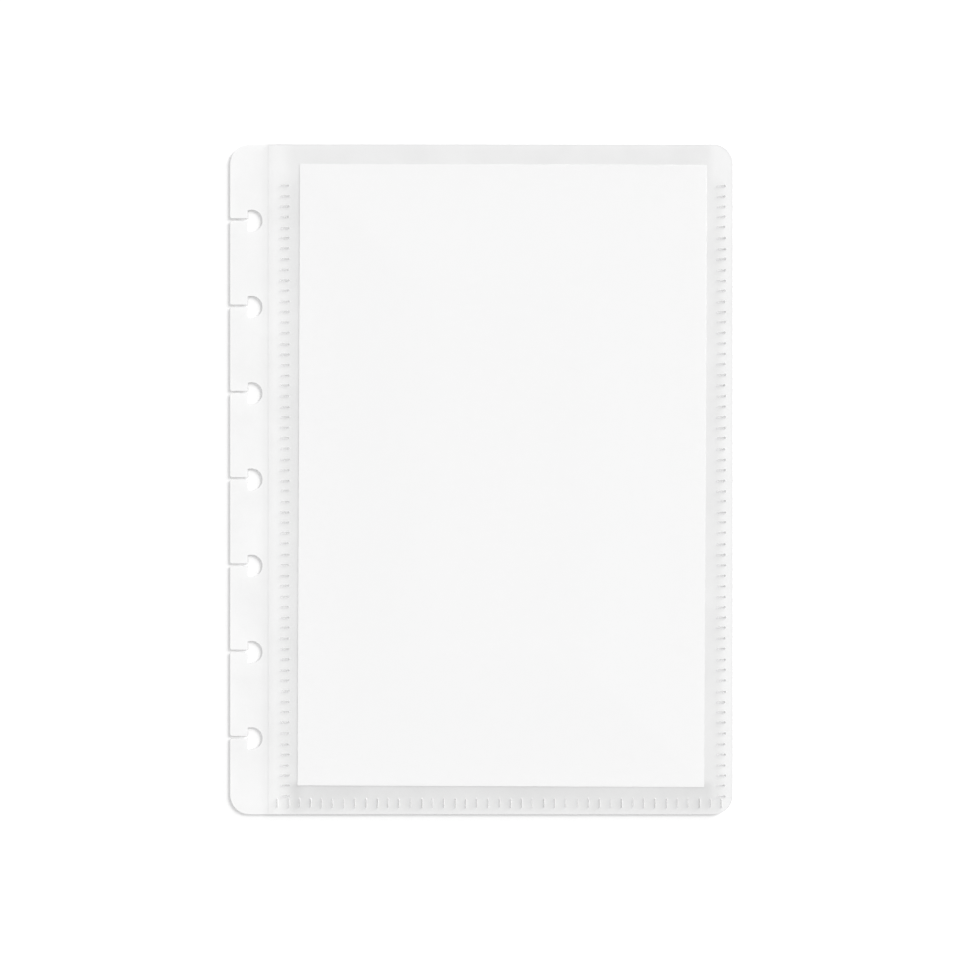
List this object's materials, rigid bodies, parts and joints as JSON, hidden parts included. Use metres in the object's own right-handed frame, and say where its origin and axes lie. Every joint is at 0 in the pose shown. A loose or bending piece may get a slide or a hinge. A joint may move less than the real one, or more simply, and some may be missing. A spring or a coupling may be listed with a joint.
{
  "type": "planner cover",
  "caption": "Flat translucent plastic cover for a disc-bound planner, with a row of punched disc holes along one edge and a welded clear pocket that holds a loose white card.",
  "frame": {"origin": "under the middle of the cover's width and height, on its flat back face", "axes": "+X from the binding edge to the outer edge, +Y up the cover to the pocket's mouth, +Z out of its front"},
  "size_m": [0.148, 0.1974, 0.0014],
  "materials": {
    "cover_plastic": "satin",
    "pocket_film": "gloss",
    "weld_mark": "satin",
    "card_stock": "matte"
  },
  "bodies": {
    "cover": {"back_panel": "cover_plastic", "pocket_film": "pocket_film", "left_weld_seam": "weld_mark", "right_weld_seam": "weld_mark", "bottom_weld_seam": "weld_mark"},
    "tab_1": {"binding_tab_1": "cover_plastic"},
    "tab_2": {"binding_tab_2": "cover_plastic"},
    "tab_3": {"binding_tab_3": "cover_plastic"},
    "tab_4": {"binding_tab_4": "cover_plastic"},
    "tab_5": {"binding_tab_5": "cover_plastic"},
    "tab_6": {"binding_tab_6": "cover_plastic"},
    "tab_7": {"binding_tab_7": "cover_plastic"},
    "tab_8": {"binding_tab_8": "cover_plastic"},
    "lip": {"pocket_lip": "pocket_film"},
    "card": {"insert_card": "card_stock"}
  },
  "joints": [
    {"name": "tab_1_bend", "type": "hinge", "parent": "cover", "child": "tab_1", "pos_m": [-0.0653, -0.08743, 0.0004], "axis": [0, 1, 0], "range_deg": [-30, 30], "stiffness_Nm_per_rad": 0.125},
    {"name": "tab_2_bend", "type": "hinge", "parent": "cover", "child": "tab_2", "pos_m": [-0.0653, -0.0635, 0.0004], "axis": [0, 1, 0], "range_deg": [-30, 30], "stiffness_Nm_per_rad": 0.125},
    {"name": "tab_3_bend", "type": "hinge", "parent": "cover", "child": "tab_3", "pos_m": [-0.0653, -0.0381, 0.0004], "axis": [0, 1, 0], "range_deg": [-30, 30], "stiffness_Nm_per_rad": 0.125},
    {"name": "tab_4_bend", "type": "hinge", "parent": "cover", "child": "tab_4", "pos_m": [-0.0653, -0.0127, 0.0004], "axis": [0, 1, 0], "range_deg": [-30, 30], "stiffness_Nm_per_rad": 0.125},
    {"name": "tab_5_bend", "type": "hinge", "parent": "cover", "child": "tab_5", "pos_m": [-0.0653, 0.0127, 0.0004], "axis": [0, 1, 0], "range_deg": [-30, 30], "stiffness_Nm_per_rad": 0.125},
    {"name": "tab_6_bend", "type": "hinge", "parent": "cover", "child": "tab_6", "pos_m": [-0.0653, 0.0381, 0.0004], "axis": [0, 1, 0], "range_deg": [-30, 30], "stiffness_Nm_per_rad": 0.125},
    {"name": "tab_7_bend", "type": "hinge", "parent": "cover", "child": "tab_7", "pos_m": [-0.0653, 0.0635, 0.0004], "axis": [0, 1, 0], "range_deg": [-30, 30], "stiffness_Nm_per_rad": 0.125},
    {"name": "tab_8_bend", "type": "hinge", "parent": "cover", "child": "tab_8", "pos_m": [-0.0653, 0.08743, 0.0004], "axis": [0, 1, 0], "range_deg": [-30, 30], "stiffness_Nm_per_rad": 0.125},
    {"name": "lip_lift", "type": "hinge", "parent": "cover", "child": "lip", "pos_m": [0.00595, 0.08765, 0.0014], "axis": [1, 0, 0], "range_deg": [0, 60], "stiffness_Nm_per_rad": 0.024},
    {"name": "card_slide", "type": "slide", "parent": "cover", "child": "card", "axis": [0, 1, 0], "range_m": [0, 0.19]}
  ]
}
